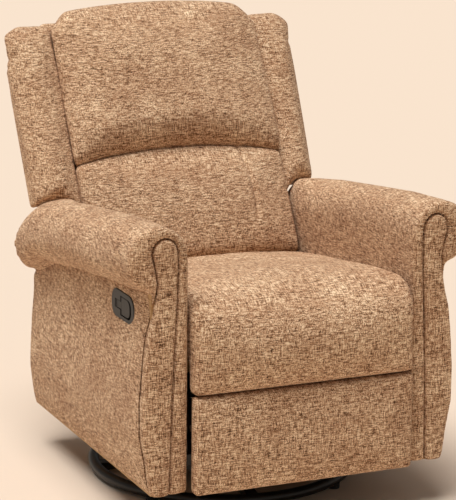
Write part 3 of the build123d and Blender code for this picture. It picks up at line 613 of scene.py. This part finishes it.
def wings():
    s = wingShape
    inner, outer, rear, front = s["inner"], s["outer"], s["rear"], s["front"]
    top, foot = s["top"], s["foot"]
    outline = [(foot, rear), (foot, front)]
    outline += arc((top - s["topRound"], front - s["topRound"]), s["topRound"], 90, 0, 5)
    outline += [(top, rear)]
    pad = rawPad("wing_right", outline, upOutPlane(), inner, outer, s["edge"])
    remesh(pad, s["voxel"])

    def loose(x, up, out):
        return smooth(out, rear + 16, rear + 40) * smooth(x, inner + 8, inner + 24)

    stuff(pad, s["pressure"], s["cap"], loose, backPlane)

    def trim(x, up, out):
        across = (x - inner) / (outer - inner)
        face = smooth(out, rear + 40, front)
        full = math.sin(math.pi * min(1, max(0, across * 0.9 + 0.1)))
        out += face * (10 * full - 13 * smooth(across, 0.62, 1.0))
        edge = straight(up, s["frontEdge"])
        edge += (straight(up, s["rearEdge"]) - edge) * smooth(front - 8 - out, 0, 60)
        x = inner + (x - inner) * (edge - inner) / (outer - inner)
        x -= 3.5 * bell(up, s["notch"], 6) * smooth(across, 0.6, 0.95)
        x -= s["inset"] * (1 - across) ** 2 * smooth(out, 66, 84) * (0.35 + 0.5 * bell(up, 420, 90))
        beside = min(0.93, abs(x - s["armMiddle"]) / s["armRound"])
        fall = s["armRound"] * (1 - math.sqrt(1 - beside * beside))
        up -= fall * (1 - smooth(up, foot, foot + 90))
        up -= 12 * smooth(across, 0.6, 1.0) * smooth(up, top - 60, top)
        out += ripple((x, up, out), 90, 2.0, 9.3) * smooth(out, rear + 10, front)
        return x, up, max(out, rear)

    shape(pad, trim, backPlane)
    refine(pad)
    left = mirrored(pad, "wing_left")
    finishPad(pad, "seat_back", s["fill"], "wing_pad_right", "wing_frames")
    finishPad(left, "seat_back", s["fill"], "wing_pad_left", "wing_frames")


headrest()
lumbar()
wings()


armShape = {
    "inner": rollLow.x + 0.5, "outer": 345, "rollMiddle": (334, 622), "rollRadius": 68, "rollTall": 1.06,
    "front": frontLow.y - 2, "rear": rollHigh.y, "rearFace": endHigh.y + 2, "floor": frontLow.z, "recess": 14,
    # (y, z) under the roll and on top of it
    "seam": ((-450, 557), (-300, 545), (-15, 514), (142, 486), (295, 424)),
    "crest": ((-450, 697), (-280, 684), (-105, 662), (55, 641), (170, 621), (205, 612), (240, 594),
              (283, 567), (296, 561)),
    # inset front panel, from the floor up: (z, inner x, outer x), and its oval head
    "panel": ((103, 309, 347), (122, 308, 352), (172, 307, 358), (238, 305, 370), (312, 303, 370),
              (400, 299, 363), (456, 296, 356), (492, 294, 346), (540, 292, 337), (570, 291, 334),
              (602, 290, 339), (634, 291, 347)),
    "head": ((319, 634), 28),
}


def dropToRear(y, z):
    # a height on the front section carried back along the falling arm
    s = armShape
    seamFront, crestFront = s["seam"][0][1], s["crest"][0][1]
    seam, crest = straight(y, s["seam"]), straight(y, s["crest"])
    if z <= seamFront:
        return s["floor"] + (z - s["floor"]) * (seam - s["floor"]) / (seamFront - s["floor"])
    return seam + (z - seamFront) * (crest - seam) / (crestFront - seamFront)


def panelOutline():
    s = armShape
    middle, radius = s["head"]
    outline = [(outer, z) for z, inner, outer in s["panel"]] + arc(middle, radius, 8, 172, 9, 1.1)
    return outline + [(inner, z) for z, inner, outer in reversed(s["panel"])]


def outside(point, outline):
    # distance from a closed outline, negative inside it
    best = math.inf
    inside = False
    for (ax, ay), (bx, by) in zip(outline, outline[1:] + outline[:1]):
        dx, dy = bx - ax, by - ay
        share = min(1, max(0, ((point[0] - ax) * dx + (point[1] - ay) * dy) / (dx * dx + dy * dy)))
        best = min(best, math.hypot(point[0] - ax - share * dx, point[1] - ay - share * dy))
        if (ay > point[1]) != (by > point[1]) and point[0] < ax + dx * (point[1] - ay) / dy:
            inside = not inside
    return -best if inside else best


def armSection(grow=0):
    # inner side, roll and the lower outer side, seen from the front
    s = armShape
    outline = [(s["inner"], s["floor"])]
    outline += arc(s["rollMiddle"], s["rollRadius"] + grow, 180, -58, 16, s["rollTall"])
    return outline + [(s["outer"] + 2, 557), (s["outer"], 550), (s["outer"], s["floor"])]


pocket = {"depth": 322, "corner": 30, "rim": 5, "slope": 5}


def handlePocket(x, y, z):
    # room for the handle's cup and hinge in the left arm
    s = pocket
    inY = min(y - handleLow.y, handleHigh.y - y)
    inZ = min(z - handleLow.z, handleHigh.z - z)
    inside = min(inY, inZ)
    if max(inY, inZ) < s["corner"]:
        inside = s["corner"] - math.hypot(s["corner"] - inY, s["corner"] - inZ)
    deep = smooth(inside, s["rim"], s["rim"] + s["slope"]) * smooth(abs(x), 318, 330)
    return math.copysign(abs(x) + deep * (s["depth"] - abs(x)), x), y, z


armRoll = {"voxel": 7.2, "pressure": 3, "cap": 6, "edge": 11, "fill": 0.75, "gathers": 26, "pleat": 1.5,
           "ring": 4, "saddle": 15}


def armCover():
    # inner side and roll in one cover, gathered round the inset panel at the front
    s, roll = armShape, armRoll
    pad = rawPad("armCover_right", armSection(), facePlane, s["front"], s["rear"], roll["edge"])
    remesh(pad, roll["voxel"])

    def loose(x, y, z):
        inside = smooth(y - s["front"] - 10, 0, 30) * smooth(x, s["inner"] + 1, s["inner"] + 14)
        return smooth(z, 440, 540) * inside

    stuff(pad, roll["pressure"], roll["cap"], loose)

    def slope(x, y, z):
        wave = ripple((x, y, z), 85, 2.2, 3.3) * smooth(y, s["front"], s["front"] + 40)
        ending = smooth(y, s["rear"] - 40, s["rear"]) * smooth(z, 520, 600)
        x -= 5 * ending * (x - s["rollMiddle"][0]) / 70
        z = dropToRear(y, z)
        z -= 1.6 * bell(y, s["front"] + 26, 7) * smooth(z, 560, 600)
        z += roll["saddle"] * smooth(y, 60, 200) * bell(x, 290, 26) * smooth(z, 550, 595)
        x += wave * smooth(z, 520, 600)
        return max(s["inner"], x), y, max(s["floor"], z)

    shape(pad, slope)
    refine(pad)
    outline = panelOutline()
    near = s["front"] + 12
    bm = bmesh.new()
    bm.from_mesh(pad.data)
    ring = {v for v in bm.verts if v.co.y < near * mm and
            abs(outside((v.co.x / mm, v.co.z / mm), outline)) < 11}
    fine = [e for e in bm.edges if ring.issuperset(e.verts)]
    bmesh.ops.subdivide_edges(bm, edges=fine, cuts=1, use_grid_fill=True)
    bm.to_mesh(pad.data)
    bm.free()
    middle = s["head"][0]

    def gather(x, y, z):
        if y > near + 14:
            return x, y, z
        away = outside((x, z), outline)
        sunk = s["recess"] * (1 - smooth(away, -1, 6)) * smooth(near + 4 - y, 0, 8)
        angle = math.atan2(z - middle[1], x - middle[0])
        pleat = roll["pleat"] * math.sin(angle * roll["gathers"]) * smooth(z, 585, 610) * bell(away, 6, 14)
        swell = roll["ring"] * bell(away, 16, 14) * smooth(near + 14 - y, 0, 14)
        return x, y + sunk + pleat - swell, z

    shape(pad, gather)
    left = mirrored(pad, "armCover_left")
    shape(left, handlePocket)
    finishPad(pad, "chair_body", roll["fill"], "arm_roll_right", "arm_inner_panels")
    finishPad(left, "chair_body", roll["fill"], "arm_roll_left", "arm_inner_panels")


sidePanel = {
    "voxel": 7, "pressure": 3, "cap": 4, "edge": 6, "fill": 0.5, "near": 322, "far": 352, "tall": 450,
    # how full it is at each height, and how much less or more right behind the inset panel
    "full": ((103, -4), (150, 6), (240, 21), (320, 20), (400, 13), (456, 4), (492, 0), (553, 0)),
    "frontFull": ((103, -1), (320, 1), (456, 1), (492, -6), (540, -15), (570, -17)),
}


def armSide():
    # padded outer side under the roll
    s, side = armShape, sidePanel
    front, rear, floor = s["front"] + 4, s["rear"] + 2, s["floor"] + 0.5
    outline = [(front, floor), (rear, floor), (rear, s["seam"][-1][1] + 8)]
    outline += [(y, z + 4) for y, z in reversed(s["seam"][1:-1])] + [(front, s["seam"][0][1] + 2)]
    pad = rawPad("armSide_right", outline, sidePlane, side["near"], side["far"], side["edge"])
    remesh(pad, side["voxel"])

    def loose(x, y, z):
        inside = smooth(min(y - front, rear - y) - 4, 0, 25) * smooth(z, floor + 4, floor + 25)
        return smooth(x, 338, 350) * inside

    stuff(pad, side["pressure"], side["cap"], loose)

    def bulge(x, y, z):
        seam = straight(y, s["seam"])
        level = floor + (z - floor) * side["tall"] / (seam - floor)
        full = straight(level, side["full"]) * (1 - 0.5 * smooth(y, -250, 250))
        full += straight(level, side["frontFull"]) * smooth(-400 - y, 0, 45)
        wave = ripple((x, y, z), 100, 1.8, 8.8) * smooth(y, -440, -380) * smooth(level, 110, 160)
        wave *= 1 - bell(y, -305, 70) * bell(z, 488, 60)
        crease = 8 * bell(z, seam + 2, 9)
        return x + smooth(x, 332, 350) * (full + wave - crease), y, max(floor, z)

    shape(pad, bulge)
    refine(pad)
    outline = panelOutline()

    def tuck(x, y, z):
        # the front edge is drawn in behind the inset panel
        if y > front + 16:
            return x, y, z
        covered = 1 - smooth(outside((x, z), outline), 0, 4)
        return x, y + s["recess"] * covered * smooth(front + 16 - y, 0, 12), z

    shape(pad, tuck)
    left = mirrored(pad, "armSide_left")
    shape(left, handlePocket)
    finishPad(pad, "chair_body", side["fill"], "arm_outer_panel_right")
    finishPad(left, "chair_body", side["fill"], "arm_outer_panel_left")


insetPanel = {"voxel": 3.5, "pressure": 3, "cap": 3, "edge": 5, "fill": 0.6, "proud": 3, "deep": 22,
              "crown": 3.5}


def armFront():
    # inset panel on the arm's front, with its oval head in the end of the roll
    s, inset = armShape, insetPanel
    outline = panelOutline()
    near, far = s["front"] - inset["proud"], s["front"] + inset["deep"]
    pad = rawPad("armFront_right", outline, facePlane, near, far, inset["edge"])
    remesh(pad, inset["voxel"])

    def loose(x, y, z):
        return smooth(s["front"] + 8 - y, 0, 6) * smooth(-3 - outside((x, z), outline), 0, 8)

    stuff(pad, inset["pressure"], inset["cap"], loose)

    def puff(x, y, z):
        inner = straight(z, [(level, inner) for level, inner, outer in s["panel"]])
        outer = straight(z, [(level, outer) for level, inner, outer in s["panel"]])
        across = min(1, max(0, (x - inner) / (outer - inner)))
        face = smooth(s["front"] + 14 - y, 0, 12)
        return x, y - face * inset["crown"] * math.sin(math.pi * across), max(s["floor"] + 0.5, z)

    shape(pad, puff)
    refine(pad)
    left = mirrored(pad, "armFront_left")
    finishPad(pad, "chair_body", inset["fill"], "arm_front_panel_right")
    finishPad(left, "chair_body", inset["fill"], "arm_front_panel_left")


endPanel = {"voxel": 6, "edge": 4.5, "fill": 0.4, "smaller": 5, "widest": 351}


def armRear():
    # end panel behind each arm, cut to the arm's section
    s, end = armShape, endPanel
    near, far = s["rear"] + 0.5, s["rearFace"] - 2
    pad = rawPad("armRear_right", armSection(-end["smaller"]), facePlane, near, far, end["edge"])
    remesh(pad, end["voxel"])

    def fit(x, y, z):
        if z < 540:
            x = min(x, end["widest"])
        face = smooth(y, s["rear"] + 4, s["rearFace"] - 3)
        return x, y + face * ripple((x, y, z), 110, 1.2, 12.1), max(s["floor"], dropToRear(s["rear"], z))

    shape(pad, fit)
    refine(pad)
    left = mirrored(pad, "armRear_left")
    finishPad(pad, "chair_body", end["fill"], "arm_rear_panels")
    finishPad(left, "chair_body", end["fill"], "arm_rear_panels")


armCover()
armSide()
armFront()
armRear()


backPanel = {"voxel": 6.6, "edge": 4.5, "fill": 0.4, "near": 21, "far": 34, "low": 40, "narrow": 253,
             "wide": 355, "hood": 30}


def outerBack():
    # lightly padded: narrow between the arms and as wide as the wings above them
    s, panel = wingShape, backPanel
    narrow, wide, shoulder, top = panel["narrow"], panel["wide"], s["foot"] + 2, s["top"] - 2
    outline = [(-narrow, panel["low"]), (narrow, panel["low"]), (narrow, shoulder), (wide, shoulder)]
    outline += [(wide, top - 14), (wide - 14, top), (-wide + 14, top), (-wide, top - 14)]
    outline += [(-wide, shoulder), (-narrow, shoulder)]
    pad = rawPad("outerBack", outline, backPlane, panel["near"], panel["far"], panel["edge"])
    remesh(pad, panel["voxel"])

    def settle(x, up, out):
        hood = panel["hood"] * smooth(up, top - 38, top - 2) * (1 - smooth(abs(x), 240, 275))
        x *= 1 - 0.034 * smooth(up, s["notch"] - 8, s["notch"] + 6) * smooth(abs(x), 280, 320)
        return x, up + hood, out + ripple((x, up, out), 130, 1.6, 5.0) * smooth(28 - out, -2, 4)

    shape(pad, settle, backPlane)
    refine(pad)
    finishPad(pad, "seat_back", panel["fill"], "back_outer_panel")


rearCover = {"voxel": 6, "edge": 4, "fill": 0.4, "thicker": 4}


def rearPanel():
    # the body's rear, under the reclining back
    s = rearCover
    low, high, half = rearLow.z, rearHigh.z, rearHigh.x
    outline = [(-half, low), (half, low), (half, high), (-half, high)]
    pad = rawPad("rearPanel", outline, facePlane, rearLow.y, rearHigh.y + s["thicker"], s["edge"])
    remesh(pad, s["voxel"])

    def settle(x, y, z):
        return max(-half, min(half, x)), y + ripple((x, y, z), 130, 1.4, 7.0), max(low, z)

    shape(pad, settle)
    refine(pad)
    finishPad(pad, "chair_body", s["fill"], "rear_panel")


outerBack()
rearPanel()


studio = {
    "floor": "#e1d0bf", "floorSize": 40,       # metres
    "sky": "#fffaf4", "skyStrength": 0.22, "sun": "#fffcf8",
    "sunStrength": 3.4, "sunSoftness": 34, "sunDirection": (0.24, 0.07, -1.0),
}


def stage():
    s = studio
    bm = bmesh.new()
    bmesh.ops.create_grid(bm, x_segments=1, y_segments=1, size=s["floorSize"])
    mesh = bpy.data.meshes.new("floor")
    bm.to_mesh(mesh)
    bm.free()
    floor = bpy.data.objects.new("floor", mesh)
    bpy.context.scene.collection.objects.link(floor)
    # Matt painted floor, with no shine.
    material, tree = newMaterial("paleFloor")
    surface = addNode(tree, "ShaderNodeBsdfPrincipled", Roughness=1.0,
                      **{"Base Color": srgb(s["floor"]), "Specular IOR Level": 0.0})
    addNode(tree, "ShaderNodeOutputMaterial", links={"Surface": surface.outputs[0]})
    floor.data.materials.append(material)
    world = bpy.data.worlds.new("studio")
    world.use_nodes = True
    bpy.context.scene.world = world
    sky = world.node_tree.nodes["Background"]
    sky.inputs["Color"].default_value = srgb(s["sky"])
    sky.inputs["Strength"].default_value = s["skyStrength"]
    light = bpy.data.lights.new("keySun", "SUN")
    light.energy = s["sunStrength"]
    light.angle = math.radians(s["sunSoftness"])
    light.color = srgb(s["sun"])[:3]
    sun = bpy.data.objects.new("keySun", light)
    sun.rotation_euler = Vector(s["sunDirection"]).to_track_quat("-Z", "Y").to_euler()
    bpy.context.scene.collection.objects.link(sun)


cameraSet = {
    "place": (-2.2296, -5.0453, 1.8885),              # metres
    "turn": 0.420, "dip": 0.245, "roll": 0.0111,      # radians
    "lens": 178.1, "sensor": 36,
}


def camera():
    s = cameraSet
    turn, dip, roll = s["turn"], s["dip"], s["roll"]
    ahead = Vector((math.sin(turn) * math.cos(dip), math.cos(turn) * math.cos(dip), -math.sin(dip)))
    right = Vector((math.cos(turn), -math.sin(turn), 0))
    up = right.cross(ahead)
    tilted = right * math.cos(roll) + up * math.sin(roll)
    up = up * math.cos(roll) - right * math.sin(roll)
    lens = bpy.data.cameras.new("camera")
    lens.lens = s["lens"]
    lens.sensor_width = s["sensor"]
    eye = bpy.data.objects.new("camera", lens)
    axes = Matrix((tilted, up, -ahead)).transposed().to_4x4()
    eye.matrix_world = Matrix.Translation(s["place"]) @ axes
    bpy.context.scene.collection.objects.link(eye)
    bpy.context.scene.camera = eye


stage()
camera()
bpy.context.scene.view_settings.view_transform = "Standard"
print("stage, light and camera set")
